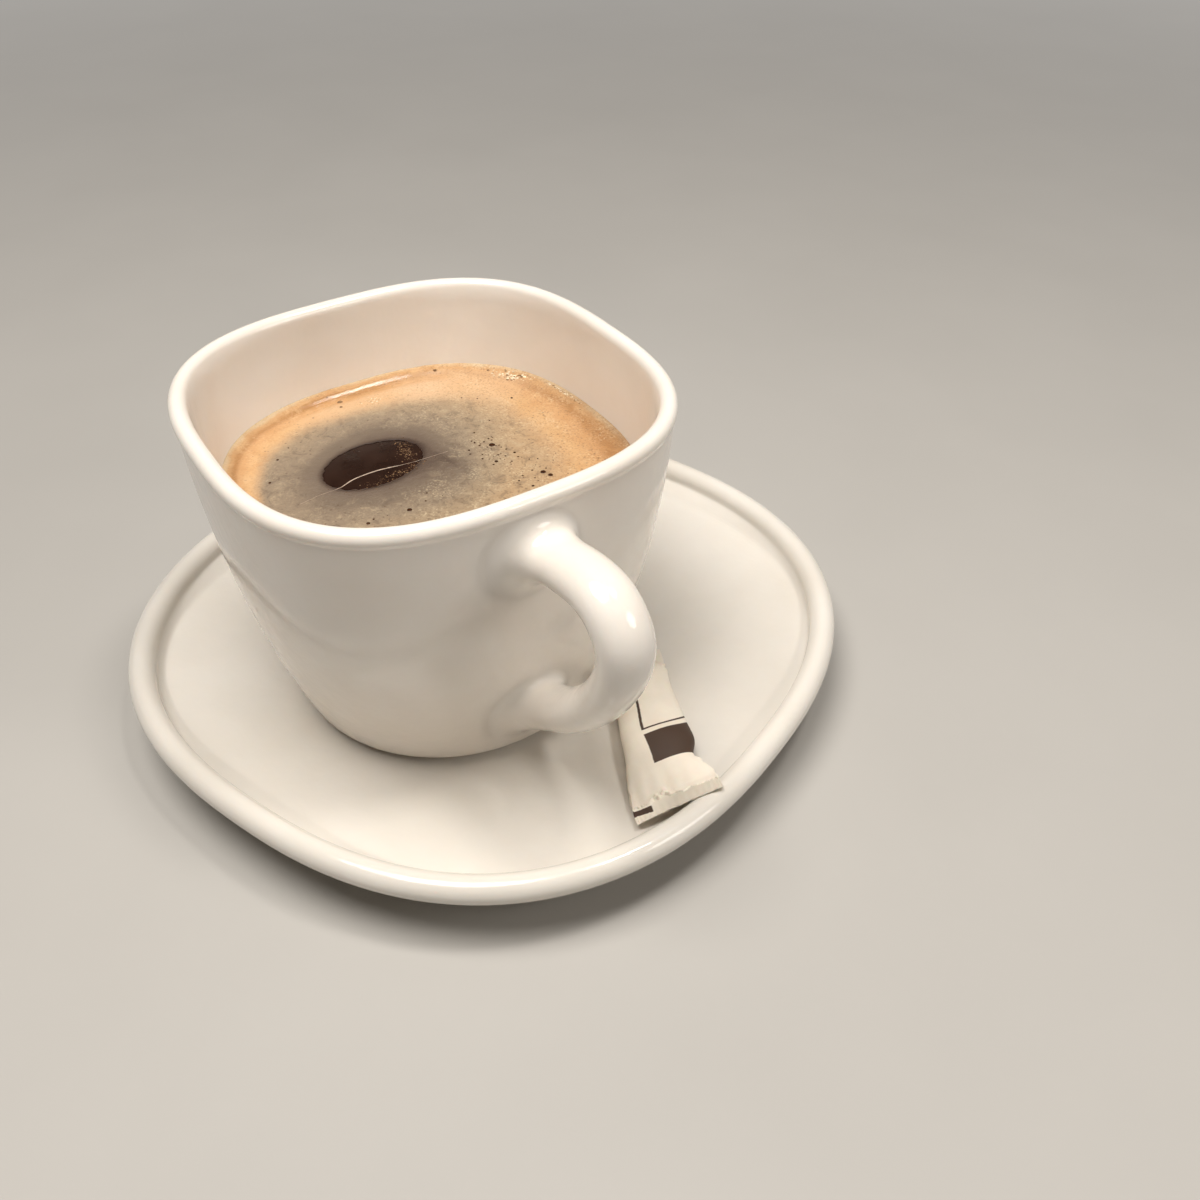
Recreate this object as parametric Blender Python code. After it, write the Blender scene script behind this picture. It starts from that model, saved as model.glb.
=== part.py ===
"""A lungo in its rounded-square porcelain cup, on its saucer, with a paper sachet of sugar.

Units are metres and +Z is up. The origin is the middle of the saucer's foot, on the table,
and +X runs from the cup towards its handle. Cup and saucer are lofts: every section is a
superellipse |x|^n + |y|^n = a^n, a circle at the foot (n = 2) that turns into a rounded
square on the way up to the rim.
"""
import math

import bmesh
import bpy
from mathutils import Matrix, Vector

SEGMENTS = 64                # sides of every section of the cup, the drink and the saucer
GAP = 0.0003                 # clearance between pieces that rest on each other
ROUND = 2.0                  # superellipse exponent of a circle

# Saucer: a rounded square with a raised bead round its rim
SAUCER_HALF = 0.0700         # half of its width across the flats
SAUCER_TOP = 0.0150          # height of the bead's top
SAUCER_TURN = math.radians(20.8)
SAUCER_RIM_EXPONENT = 2.39
BEAD_RADIUS = 0.0026
WELL_HEIGHT = 0.0045         # the flat round well that the cup stands in
WELL_RADIUS = 0.0390
CREASE_HEIGHT = 0.0093       # the slope ends at a crease that is squarer than the rim
CREASE_HALF = 0.0608
CREASE_EXPONENT = 2.9
GROOVE_HEIGHT = 0.0115       # the hollow at the bead's inner foot
GROOVE_HALF = 0.0649
GROOVE_EXPONENT = 2.42
SAUCER_THICKNESS = 0.0030
FOOT_OUTER = 0.0400          # ring that the saucer stands on
FOOT_WIDTH = 0.0050
FOOT_HEIGHT = WELL_HEIGHT - SAUCER_THICKNESS
SLOPE_HALF = (WELL_RADIUS + CREASE_HALF) / 2
SLOPE_EXPONENT = 2.3         # the slope between well and crease, halfway
SLOPE_HEIGHT = (WELL_HEIGHT + CREASE_HEIGHT) / 2
SLOPE_SAG = 0.0002           # the slope is a little hollow
UNDERSIDE_INSET = 0.0010     # the underside turns its corners inside those of the top

# Cup: circular foot, rounded-square rim with a rolled lip
CUP_X, CUP_Y = 0.0001, -0.0098
CUP_TOP = 0.0698
CUP_BASE = WELL_HEIGHT + GAP
WALL_FOOT_HALF = 0.0308      # outer wall at the saucer's well
WALL_RIM_HALF = 0.0409       # outer wall just under the lip
WALL_CURVE = 2.25            # how early the outer wall swings out
CUP_RIM_EXPONENT = 2.8
LIP_RADIUS = 0.00166
LIP_HALF = 0.04135
HOLLOW_BASE = 0.0093         # top of the cup's bottom, inside
HOLLOW_FOOT_HALF = 0.0280
HOLLOW_RIM_HALF = 0.0380
HOLLOW_CURVE = 1.35
HOLLOW_FLOOR_HALF = 0.0200   # flat middle of the bottom, which is coved up to the wall
COVE_HALF = 0.0262
COVE_RISE = 0.0008
HOLLOW_HEIGHTS = (0.0125, 0.0180, 0.0260, 0.0350, 0.0440)
WALL_HEIGHTS = (0.0650, 0.0590, 0.0515, 0.0430, 0.0340, 0.0260, 0.0190, 0.0130, 0.0085, 0.0062)
CUP_FOOT_EDGE_HALF = 0.0292  # rounded edge between the wall and the foot ring
CUP_FOOT_EDGE_RISE = 0.0004
CUP_FOOT_OUTER = 0.0272
CUP_FOOT_WIDTH = 0.0035
CUP_FOOT_RECESS = 0.0014
FOOT_CHAMFER = 0.0010        # slope on the inner side of either foot ring

# Handle: an oval bar bent in the cup's XZ plane, wider across than it is thick
HANDLE_THICKNESS = 0.0078
HANDLE_WIDTH = 0.0098
HANDLE_ROUTE = (             # distance from the cup's axis, height, size against the bar
    (0.0388, 0.0585, 1.55),
    (0.0440, 0.0592, 1.28),
    (0.0520, 0.0608, 1.06),
    (0.0590, 0.0603, 1.00),
    (0.0631, 0.0555, 1.00),
    (0.0625, 0.0490, 1.00),
    (0.0590, 0.0415, 1.00),
    (0.0535, 0.0340, 0.96),
    (0.0465, 0.0270, 1.00),
    (0.0410, 0.0232, 1.18),
    (0.0370, 0.0215, 1.50),
)

# Drink: coffee under a layer of crema with one dark opening
DRINK_LEVEL = 0.0523
CREMA_DEPTH = 0.0020
OPENING_X, OPENING_Y = -0.0065, -0.0189
OPENING_LONG, OPENING_SHORT = 0.0102, 0.0073
OPENING_TURN = math.radians(97)
OPENING_LEVEL = 0.0518       # coffee that shows in the opening, a little below the crema

# Sugar sachet: stations from its outer crimped end to the end beside the cup.
# Each is x, y, z of the middle, half width, half thickness, direction of the width, roll
SACHET_STATIONS = (
    (0.0660, 0.0009, 0.0138, 0.0083, 0.00035, 72, 22),
    (0.0615, 0.0031, 0.0116, 0.0083, 0.00035, 74, 12),
    (0.0580, 0.0046, 0.0110, 0.0079, 0.0016, 70, 8),
    (0.0535, 0.0066, 0.0113, 0.0072, 0.0030, 66, 5),
    (0.0480, 0.0089, 0.0106, 0.0067, 0.0034, 64, 3),
    (0.0416, 0.0120, 0.0093, 0.0063, 0.0035, 64, 0),
    (0.0355, 0.0147, 0.0085, 0.0061, 0.0033, 66, 0),
    (0.0300, 0.0173, 0.0076, 0.0064, 0.0024, 70, 0),
    (0.0266, 0.0187, 0.0059, 0.0070, 0.0007, 76, 0),
    (0.0234, 0.0200, 0.0053, 0.0073, 0.00035, 80, 0),
)
SACHET_SIDES = 24
SACHET_EXPONENT = 1.9        # a pillow, a little sharper at its edges than an ellipse


def clear_scene():
    """Remove every object of the open file."""
    for item in list(bpy.data.objects):
        bpy.data.objects.remove(item, do_unlink=True)


def new_collection(name):
    """A collection of the scene."""
    made = bpy.data.collections.new(name)
    bpy.context.scene.collection.children.link(made)
    return made


def new_material(name, colour, roughness, metallic=0.0):
    """A plain Principled material."""
    made = bpy.data.materials.new(name)
    made.use_nodes = True
    shader = made.node_tree.nodes["Principled BSDF"]
    shader.inputs["Base Color"].default_value = (*colour, 1.0)
    shader.inputs["Roughness"].default_value = roughness
    shader.inputs["Metallic"].default_value = metallic
    return made


def section(half, exponent, height, offset=0.0):
    """One superellipse, counter-clockwise seen from above, moved outwards by the offset."""
    points = []
    for step in range(SEGMENTS):
        angle = 2.0 * math.pi * step / SEGMENTS
        c, s = math.cos(angle), math.sin(angle)
        radius = half / (abs(c) ** exponent + abs(s) ** exponent) ** (1.0 / exponent)
        outwards = Vector((
            math.copysign(abs(c) ** (exponent - 1.0), c),
            math.copysign(abs(s) ** (exponent - 1.0), s),
            0.0,
        )).normalized()
        points.append(Vector((radius * c, radius * s, height)) + offset * outwards)
    return points


def ellipse(long_half, short_half, turn, centre, height):
    """An ellipse whose first point lies towards angle 0, as that of a section does."""
    points = []
    for step in range(SEGMENTS):
        angle = 2.0 * math.pi * step / SEGMENTS
        local = Vector((long_half * math.cos(angle - turn), short_half * math.sin(angle - turn), 0.0))
        points.append(Matrix.Rotation(turn, 4, "Z") @ local + Vector((*centre, height)))
    return points


def loft(name, rings, material, collection, closed=False):
    """Skin the rings in turn; the two ends are filled, or joined to each other if closed."""
    sides = len(rings[0])
    points = [point for ring in rings for point in ring]
    faces = []
    last = len(rings) if closed else len(rings) - 1
    for row in range(last):
        upper, lower = row * sides, (row + 1) % len(rings) * sides
        for step in range(sides):
            after = (step + 1) % sides
            faces.append((upper + step, lower + step, lower + after, upper + after))
    if not closed:
        faces.append(tuple(range(sides)))
        faces.append(tuple(reversed(range((len(rings) - 1) * sides, len(points)))))
    mesh = bpy.data.meshes.new(name)
    mesh.from_pydata(points, [], faces)
    mesh.shade_smooth()
    mesh.set_sharp_from_angle(angle=math.radians(40))
    mesh.materials.append(material)
    made = bpy.data.objects.new(name, mesh)
    collection.objects.link(made)
    return made


def bead_sections(half, top, radius, start, end, steps, exponent):
    """Rings over a rolled edge, from the angle start to the angle end, 0 being outwards."""
    rings = []
    for step in range(steps + 1):
        angle = math.radians(start + (end - start) * step / steps)
        height = top - radius + radius * math.sin(angle)
        rings.append(section(half - radius, exponent, height, radius * math.cos(angle)))
    return rings


def saucer(material, collection):
    """The saucer, from the middle of its well over the rim and back to its foot ring."""
    band_half = (CREASE_HALF + GROOVE_HALF) / 2
    band_exponent = (CREASE_EXPONENT + GROOVE_EXPONENT) / 2
    band_height = (CREASE_HEIGHT + GROOVE_HEIGHT) / 2
    rings = [
        section(WELL_RADIUS * 0.7, ROUND, WELL_HEIGHT),
        section(WELL_RADIUS, ROUND, WELL_HEIGHT),
        section(SLOPE_HALF, SLOPE_EXPONENT, SLOPE_HEIGHT - SLOPE_SAG),
        section(CREASE_HALF, CREASE_EXPONENT, CREASE_HEIGHT),
        section(band_half, band_exponent, band_height),
        section(GROOVE_HALF, GROOVE_EXPONENT, GROOVE_HEIGHT),
    ]
    rings += bead_sections(SAUCER_HALF, SAUCER_TOP, BEAD_RADIUS, 175, -60, 10, SAUCER_RIM_EXPONENT)
    rings += [
        section(GROOVE_HALF, GROOVE_EXPONENT, GROOVE_HEIGHT - SAUCER_THICKNESS),
        section(CREASE_HALF - UNDERSIDE_INSET, CREASE_EXPONENT, CREASE_HEIGHT - SAUCER_THICKNESS),
        section(SLOPE_HALF, SLOPE_EXPONENT, SLOPE_HEIGHT - SLOPE_SAG - SAUCER_THICKNESS),
        section(FOOT_OUTER + UNDERSIDE_INSET, ROUND, FOOT_HEIGHT),
        section(FOOT_OUTER, ROUND, 0.0),
        section(FOOT_OUTER - FOOT_WIDTH, ROUND, 0.0),
        section(FOOT_OUTER - FOOT_WIDTH - FOOT_CHAMFER, ROUND, FOOT_HEIGHT),
    ]
    made = loft("saucer", rings, material, collection)
    made.rotation_euler.z = SAUCER_TURN
    return made


def wall_share(height):
    """How far up the cup's wall a height lies, 0 at the saucer's well and 1 at the rim."""
    return (height - WELL_HEIGHT) / (CUP_TOP - WELL_HEIGHT)


def cup_exponent(height):
    """The cup's section turns from a circle into a rounded square on the way up."""
    return ROUND + (CUP_RIM_EXPONENT - ROUND) * max(0.0, min(1.0, wall_share(height)))


def wall_half(height):
    """Outer half width of the cup's wall at a height."""
    swing = 1.0 - (1.0 - wall_share(height)) ** WALL_CURVE
    return WALL_FOOT_HALF + (WALL_RIM_HALF - WALL_FOOT_HALF) * swing


def hollow_half(height):
    """Half width of the cup's hollow at a height."""
    share = (height - HOLLOW_BASE) / (CUP_TOP - LIP_RADIUS - HOLLOW_BASE)
    swing = 1.0 - max(0.0, 1.0 - share) ** HOLLOW_CURVE
    return HOLLOW_FOOT_HALF + (HOLLOW_RIM_HALF - HOLLOW_FOOT_HALF) * swing


def handle(collection):
    """The handle's bar as a mesh, ready to be joined to the wall."""
    curve = bpy.data.curves.new("handle_bar", "CURVE")
    curve.dimensions = "3D"
    curve.bevel_depth = HANDLE_THICKNESS / 2
    curve.bevel_resolution = 3
    curve.use_fill_caps = True
    curve.resolution_u = 4
    spline = curve.splines.new("BEZIER")
    spline.bezier_points.add(len(HANDLE_ROUTE) - 1)
    for point, (out, height, size) in zip(spline.bezier_points, HANDLE_ROUTE):
        point.co = (out, 0.0, height)
        point.radius = size
        point.handle_left_type = point.handle_right_type = "AUTO"
    bar = bpy.data.objects.new("handle_bar", curve)
    collection.objects.link(bar)
    bpy.context.view_layer.update()
    mesh = bpy.data.meshes.new_from_object(bar.evaluated_get(bpy.context.evaluated_depsgraph_get()))
    bpy.data.objects.remove(bar)
    weld_and_widen(mesh)
    made = bpy.data.objects.new("handle_bar", mesh)
    collection.objects.link(made)
    made.location = (CUP_X, CUP_Y, 0.0)
    made.hide_render = True
    made.display_type = "WIRE"
    return made


def weld_and_widen(mesh):
    """Close the bar's caps, and stretch its round section across the bending plane."""
    work = bmesh.new()
    work.from_mesh(mesh)
    bmesh.ops.remove_doubles(work, verts=work.verts, dist=0.00001)
    stretch = Matrix.Diagonal((1.0, HANDLE_WIDTH / HANDLE_THICKNESS, 1.0, 1.0))
    bmesh.ops.transform(work, matrix=stretch, verts=work.verts)
    work.to_mesh(mesh)
    work.free()


def cup(material, collection, cutters):
    """Cup and handle in one solid, from the middle of the hollow out over the lip to the foot."""
    rings = [
        section(HOLLOW_FLOOR_HALF, ROUND, HOLLOW_BASE),
        section(COVE_HALF, ROUND, HOLLOW_BASE + COVE_RISE),
    ]
    for height in HOLLOW_HEIGHTS + (DRINK_LEVEL, 0.0600, 0.0655):
        rings.append(section(hollow_half(height), cup_exponent(height), height))
    rings += bead_sections(LIP_HALF, CUP_TOP, LIP_RADIUS, 180, -30, 7, CUP_RIM_EXPONENT)
    for height in WALL_HEIGHTS:
        rings.append(section(wall_half(height), cup_exponent(height), height))
    rings += [
        section(CUP_FOOT_EDGE_HALF, ROUND, CUP_BASE + CUP_FOOT_EDGE_RISE),
        section(CUP_FOOT_OUTER, ROUND, CUP_BASE),
        section(CUP_FOOT_OUTER - CUP_FOOT_WIDTH, ROUND, CUP_BASE),
        section(CUP_FOOT_OUTER - CUP_FOOT_WIDTH - FOOT_CHAMFER, ROUND, CUP_BASE + CUP_FOOT_RECESS),
    ]
    made = loft("cup", rings, material, collection)
    made.location = (CUP_X, CUP_Y, 0.0)
    union = made.modifiers.new("handle", "BOOLEAN")
    union.operation = "UNION"
    union.object = handle(cutters)
    return made


def coffee(material, collection):
    """The drink's body up to the crema, with the island that shows in the crema's opening."""
    ceiling = DRINK_LEVEL - CREMA_DEPTH - GAP
    rings = [
        section(HOLLOW_FLOOR_HALF - 2 * GAP, ROUND, HOLLOW_BASE + GAP),
        section(COVE_HALF - 2 * GAP, ROUND, HOLLOW_BASE + GAP + COVE_RISE),
    ]
    for height in HOLLOW_HEIGHTS + (ceiling,):
        rings.append(section(hollow_half(height) - 2 * GAP, cup_exponent(height), height))
    rings.reverse()
    centre = (OPENING_X - CUP_X, OPENING_Y - CUP_Y)
    long_half, short_half = OPENING_LONG - GAP, OPENING_SHORT - GAP
    island = [
        ellipse(long_half, short_half, OPENING_TURN, centre, OPENING_LEVEL),
        ellipse(long_half, short_half, OPENING_TURN, centre, ceiling),
    ]
    made = loft("coffee", island + rings, material, collection)
    made.location = (CUP_X, CUP_Y, 0.0)
    return made


def crema(material, collection):
    """The layer of foam on the coffee, with its opening."""
    low = DRINK_LEVEL - CREMA_DEPTH
    centre = (OPENING_X - CUP_X, OPENING_Y - CUP_Y)
    rings = [
        section(hollow_half(DRINK_LEVEL) - GAP, cup_exponent(DRINK_LEVEL), DRINK_LEVEL),
        section(hollow_half(low) - GAP, cup_exponent(low), low),
        ellipse(OPENING_LONG, OPENING_SHORT, OPENING_TURN, centre, low),
        ellipse(OPENING_LONG, OPENING_SHORT, OPENING_TURN, centre, DRINK_LEVEL),
    ]
    made = loft("crema", rings, material, collection, closed=True)
    made.location = (CUP_X, CUP_Y, 0.0)
    return made


def sachet_section(station):
    """One section of the sachet: a pillow shape, turned and rolled into place."""
    x, y, z, half_width, half_thickness, heading, roll = station
    frame = Matrix.Rotation(math.radians(heading), 4, "Z") @ Matrix.Rotation(math.radians(-roll), 4, "Y")
    points = []
    for step in range(SACHET_SIDES):
        angle = 2.0 * math.pi * step / SACHET_SIDES
        c, s = math.cos(angle), math.sin(angle)
        across = half_width * math.copysign(abs(c) ** (2.0 / SACHET_EXPONENT), c)
        up = half_thickness * math.copysign(abs(s) ** (2.0 / SACHET_EXPONENT), s)
        points.append(frame @ Vector((across, 0.0, up)) + Vector((x, y, z)))
    return points


def sachet(material, collection):
    """The sugar sachet, a filled paper tube flattened at both ends."""
    rings = [sachet_section(station) for station in SACHET_STATIONS]
    return loft("sugar_sachet", rings, material, collection)


def build():
    """Make the whole object."""
    clear_scene()
    parts = new_collection("lungo")
    cutters = new_collection("cutters")
    cutters.hide_render = True
    saucer(new_material("saucer_china", (0.86, 0.80, 0.71), 0.12), parts)
    cup(new_material("cup_china", (0.87, 0.81, 0.72), 0.12), parts, cutters)
    coffee(new_material("coffee", (0.045, 0.022, 0.014), 0.08), parts)
    crema(new_material("crema", (0.42, 0.26, 0.14), 0.45), parts)
    sachet(new_material("paper", (0.78, 0.70, 0.60), 0.65), parts)


build()
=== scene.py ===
# %% [markdown]
# # A lungo in its cup
#
# This lesson dresses a plain CAD model of a long coffee: a rounded-square porcelain cup on its
# saucer, the drink with its crema, and a paper sachet of sugar. Every surface is worked out
# with numpy as a grid of points and skinned with faces, and every finish is made of shader
# nodes. The CAD model stays as it is and tells each piece where it belongs.

# %% Load the CAD model
import bpy
import numpy as np
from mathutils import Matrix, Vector


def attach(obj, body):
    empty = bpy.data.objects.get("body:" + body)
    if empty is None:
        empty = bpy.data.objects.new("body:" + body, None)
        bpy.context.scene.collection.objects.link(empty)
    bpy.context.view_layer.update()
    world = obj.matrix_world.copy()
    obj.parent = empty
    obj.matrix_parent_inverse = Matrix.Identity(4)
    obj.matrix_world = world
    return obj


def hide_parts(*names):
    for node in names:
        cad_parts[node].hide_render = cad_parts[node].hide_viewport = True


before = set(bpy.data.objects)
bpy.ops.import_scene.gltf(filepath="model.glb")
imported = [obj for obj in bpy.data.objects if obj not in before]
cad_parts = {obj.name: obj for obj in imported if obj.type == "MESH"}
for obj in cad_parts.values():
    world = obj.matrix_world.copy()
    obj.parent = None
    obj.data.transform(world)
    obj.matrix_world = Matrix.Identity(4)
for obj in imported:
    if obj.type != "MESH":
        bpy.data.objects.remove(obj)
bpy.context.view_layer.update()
MM = 0.001
print("CAD nodes:", ", ".join(sorted(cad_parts)))

# %% [markdown]
# ## From a grid of points to a mesh
#
# A cup, a saucer, a handle and a paper tube are all the same kind of thing to a computer: rows
# of points that close into rings, one ring after another. One helper can skin them all. The
# faces could be made one by one, but whole arrays of corner numbers are faster and shorter.

# %% Skinning helpers
def shell(grid, first=None, last=None, looped=False):
    """Points and faces of a grid (rows, columns, 3) whose columns close into rings.
    A cell is a quad; a single point `first` or `last` closes an end with a fan of triangles;
    `looped` joins the last row to the first."""
    rows, columns = grid.shape[:2]
    here = np.arange(rows * columns).reshape(rows, columns)
    if looped:
        here = np.vstack([here, here[:1]])
    after = np.roll(here, -1, axis=1)
    quads = np.stack([here[:-1], here[1:], after[1:], after[:-1]], -1).reshape(-1, 4)
    points, fans = [grid.reshape(-1, 3)], []
    if first is not None:
        tip = np.full(columns, rows * columns)
        fans.append(np.stack([tip, here[0], after[0]], -1))
        points.append(np.reshape(first, (1, 3)))
    if last is not None:
        tip = np.full(columns, rows * columns + len(fans))
        fans.append(np.stack([here[-1], tip, after[-1]], -1))
        points.append(np.reshape(last, (1, 3)))
    return np.concatenate(points), quads, np.concatenate(fans or [np.zeros((0, 3), int)])


def capped(grid):
    """A shell whose two ends close on the middles of their own rings."""
    return shell(grid, grid[0].mean(axis=0), grid[-1].mean(axis=0))


def in_scene(name, data):
    """A new object with this data, linked into the scene."""
    made = bpy.data.objects.new(name, data)
    bpy.context.scene.collection.objects.link(made)
    return made


def solid(name, shells, material, shift=(0, 0, 0)):
    """One smooth-shaded object made of one or more shells, with its place in its mesh."""
    starts = np.cumsum([0] + [len(points) for points, _, _ in shells])
    points = np.concatenate([points for points, _, _ in shells]) + np.asarray(shift)
    quads = np.concatenate([quads + start for start, (_, quads, _) in zip(starts, shells)])
    fans = np.concatenate([fan + start for start, (_, _, fan) in zip(starts, shells)])
    mesh = bpy.data.meshes.new(name)
    mesh.from_pydata(points.tolist(), [], quads.tolist() + fans.tolist())
    mesh.validate()
    mesh.shade_smooth()
    mesh.materials.append(material)
    print(f"{name}: {len(points)} points, {len(quads) * 2 + len(fans)} triangles")
    return in_scene(name, mesh)


def keep_sharp(piece, points):
    """Marks the edges that run between the numbered points as sharp, so shading stops there."""
    mesh = piece.data
    ends = np.empty(len(mesh.edges) * 2, np.int32)
    mesh.edges.foreach_get("vertices", ends)
    sharp = np.isin(ends.reshape(-1, 2), points).all(axis=1)
    mesh.attributes.new("sharp_edge", "BOOLEAN", "EDGE").data.foreach_set("value", sharp)


def note(piece, name, values):
    """Stores one number for each point of a piece, for its material to read."""
    held = piece.data.attributes.new(name, "FLOAT", "POINT")
    held.data.foreach_set("value", np.asarray(values, np.float32).ravel())


_, quads, fans = shell(np.zeros((5, 8, 3)), first=(0, 0, 0), last=(0, 0, 0))
print("5 rings of 8 points with closed ends:", len(quads), "quads,", len(fans), "triangles")

# %% [markdown]
# ## Rounded squares and smooth paths
#
# Cup and saucer are not round: seen from above they are squares with very soft corners. The
# curve |x|^n + |y|^n = a^n draws exactly that: n = 2 is a circle, and a larger n is squarer.
# A Bezier outline would need four careful handles, while here one number does it. Paths such
# as the handle's run through a few key points on a natural cubic spline, the curve that a thin
# springy strip takes when it is held at those points.

# %% Shape helpers
ROW_UNITS = [MM, MM, 1, MM]


def full_turn(count):
    """Evenly spaced angles, once round."""
    return np.linspace(0, 2 * np.pi, count, endpoint=False)


def column(values):
    """One number, or several, as a column, so that each gets a row of points to itself."""
    return np.atleast_1d(values).astype(float)[:, None]


def unit(rows):
    """The same directions, each with a length of 1."""
    return rows / np.linalg.norm(rows, axis=1, keepdims=True)


def squircles(half, power, height, outset=0.0, sides=192):
    """Rings of |x|^n + |y|^n = a^n, one for each row value, as an array (rows, sides, 3).
    In polar form the radius is a / (|cos|^n + |sin|^n)^(1/n). The outset then moves each
    point along the curve's own normal, which keeps a rolled edge equally thick all round."""
    half, power, height, outset = map(column, np.broadcast_arrays(half, power, height, outset))
    turn = full_turn(sides)[None]
    c, s = np.cos(turn), np.sin(turn)
    radius = half / (abs(c) ** power + abs(s) ** power) ** (1 / power)
    nx = np.sign(c) * abs(c) ** (power - 1)
    ny = np.sign(s) * abs(s) ** (power - 1)
    size = np.hypot(nx, ny)
    x = radius * c + outset * nx / size
    y = radius * s + outset * ny / size
    return np.stack([x, y, height + 0 * x], -1)


def spring_path(points, places):
    """Natural cubic spline through key points, spaced by their distances.
    The second derivatives M solve h0 M0 + 2 (h0 + h1) M1 + h1 M2 = 6 (change of slope), with
    M = 0 at both ends. `places` run from 0 at the first point to 1 at the last."""
    points = np.asarray(points, float)
    gap = np.linalg.norm(np.diff(points[:, :3], axis=0), axis=1)
    along = np.concatenate([[0], np.cumsum(gap)])
    count = len(points)
    system, right = np.eye(count), np.zeros_like(points)
    inner = np.arange(1, count - 1)
    system[inner, inner - 1] = gap[:-1]
    system[inner, inner] = 2 * (gap[:-1] + gap[1:])
    system[inner, inner + 1] = gap[1:]
    slope = np.diff(points, axis=0) / gap[:, None]
    right[inner] = 6 * np.diff(slope, axis=0)
    second = np.linalg.solve(system, right)
    at = np.asarray(places) * along[-1]
    k = np.clip(np.searchsorted(along, at, side="right") - 1, 0, count - 2)
    h, t = gap[k][:, None], (at - along[k])[:, None]
    rest = h - t
    return (
        second[k] * rest ** 3 / (6 * h) + second[k + 1] * t ** 3 / (6 * h)
        + (points[k] / h - second[k] * h / 6) * rest
        + (points[k + 1] / h - second[k + 1] * h / 6) * t
    )


def rolled(middle, radius, power, start, stop, rows):
    """Key rows round a bead, in millimetres: the outset is radius cos(a) and the height is
    middle + radius sin(a), with the angle a running from `start` to `stop` degrees."""
    turn = np.radians(np.linspace(start, stop, rows))
    half, height = middle
    flat = 0 * turn
    parts = half + flat, radius * np.cos(turn), power + flat, height + radius * np.sin(turn)
    return np.stack(parts, -1)


def soft_profile(keys, softness, longest=1.3 * MM, turning=np.radians(9), fine_step=0.05 * MM):
    """Rows of a profile given as key rows (half width, outset, power, height).
    The keys are joined by straight lines, sampled finely and averaged with a bell curve, which
    rounds every corner alike. Rows are then picked so that neither the length nor the turn
    from one to the next is large: the lip gets many rows and the plain wall gets few."""
    keys = np.asarray(keys, float)
    place = np.stack([keys[:, 0] + keys[:, 1], keys[:, 3]], -1)
    along = np.concatenate([[0], np.cumsum(np.linalg.norm(np.diff(place, axis=0), axis=1))])
    at = np.arange(0, along[-1], fine_step)
    fine = np.stack([np.interp(at, along, keys[:, k]) for k in range(4)], -1)
    reach = int(3 * softness / fine_step)
    weight = np.exp(-0.5 * (np.arange(-reach, reach + 1) * fine_step / softness) ** 2)
    weight /= weight.sum()
    padded = np.pad(fine, ((reach, reach), (0, 0)), mode="edge")
    soft = np.stack([np.convolve(padded[:, k], weight, "valid") for k in range(4)], -1)
    step = np.diff(np.stack([soft[:, 0] + soft[:, 1], soft[:, 3]], -1), axis=0)
    heading = np.unwrap(np.arctan2(step[:, 1], step[:, 0] + 1e-12))
    load = np.hypot(*step.T) / longest + abs(np.diff(heading, prepend=heading[0])) / turning
    total = np.concatenate([[0], np.cumsum(load)])
    pick = np.interp(np.linspace(0, total[-1], int(total[-1]) + 2), total, np.arange(len(soft)))
    return np.stack([np.interp(pick, np.arange(len(soft)), soft[:, k]) for k in range(4)], -1)


def turned_shell(rows, angle=0.0):
    """The closed shell of a profile's rows, of which the first and the last lie on the axis.
    Turning by the angle A moves (x, y) to (x cos A - y sin A, x sin A + y cos A)."""
    half, outset, power, height = rows.T
    rings = squircles(half[1:-1], power[1:-1], height[1:-1], outset[1:-1])
    x, y, z = np.moveaxis(rings, -1, 0)
    c, s = np.cos(angle), np.sin(angle)
    rings = np.stack([c * x - s * y, s * x + c * y, z], -1)
    return shell(rings, (0, 0, height[0]), (0, 0, height[-1]))


def waves(x, y, size, seed, count=28):
    """Gentle random relief from -1 to 1: the mean of plane waves cos(k.p + phase) whose
    directions and phases are seeded and whose wavelengths lie around `size`."""
    dice = np.random.default_rng(seed)
    way = dice.uniform(0, 2 * np.pi, count)
    k = 2 * np.pi / (size * dice.uniform(0.6, 1.8, count))
    phase = dice.uniform(0, 2 * np.pi, count)
    total = np.zeros(np.broadcast(x, y).shape)
    for direction, number, start in zip(way, k, phase):
        total += np.cos(number * (np.cos(direction) * x + np.sin(direction) * y) + start)
    return total / np.sqrt(count * 0.5) / 2


def ease(value, low, high):
    """0 below `low`, 1 above `high`, and the soft curve 3t^2 - 2t^3 between them."""
    t = np.clip((value - low) / (high - low), 0, 1)
    return t * t * (3 - 2 * t)


def bell(value, middle, width):
    """Bell curve exp(-((value - middle) / width)^2), 1 at its middle."""
    return np.exp(-((value - middle) / width) ** 2)


trial = squircles(1, [2, 2.8, 8], 0)
reach = np.linalg.norm(trial[..., :2], axis=-1).max(axis=1)
print("corners of a unit rounded square reach, for n = 2, 2.8 and 8:", reach.round(2))

# %% [markdown]
# ## Node helpers
#
# A finish is a small tree of nodes. Two effects come back in every material of this object:
# a cloudy mask, which says where a glaze pools or foam is denser, and a fine relief. Each is a
# node group with named inputs, built once. Values that are the same all over are set on the
# Principled shader itself, so that they survive an export.

# %% Node helpers
VECTOR, FLOAT = "NodeSocketVector", "NodeSocketFloat"


def srgb(red, green, blue):
    """A colour as a screen shows it (0 to 255), made linear, as shaders want it."""
    share = np.array([red, green, blue]) / 255
    lit = np.where(share > 0.04045, ((share + 0.055) / 1.055) ** 2.4, share / 12.92)
    return (*lit.tolist(), 1.0)


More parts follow.
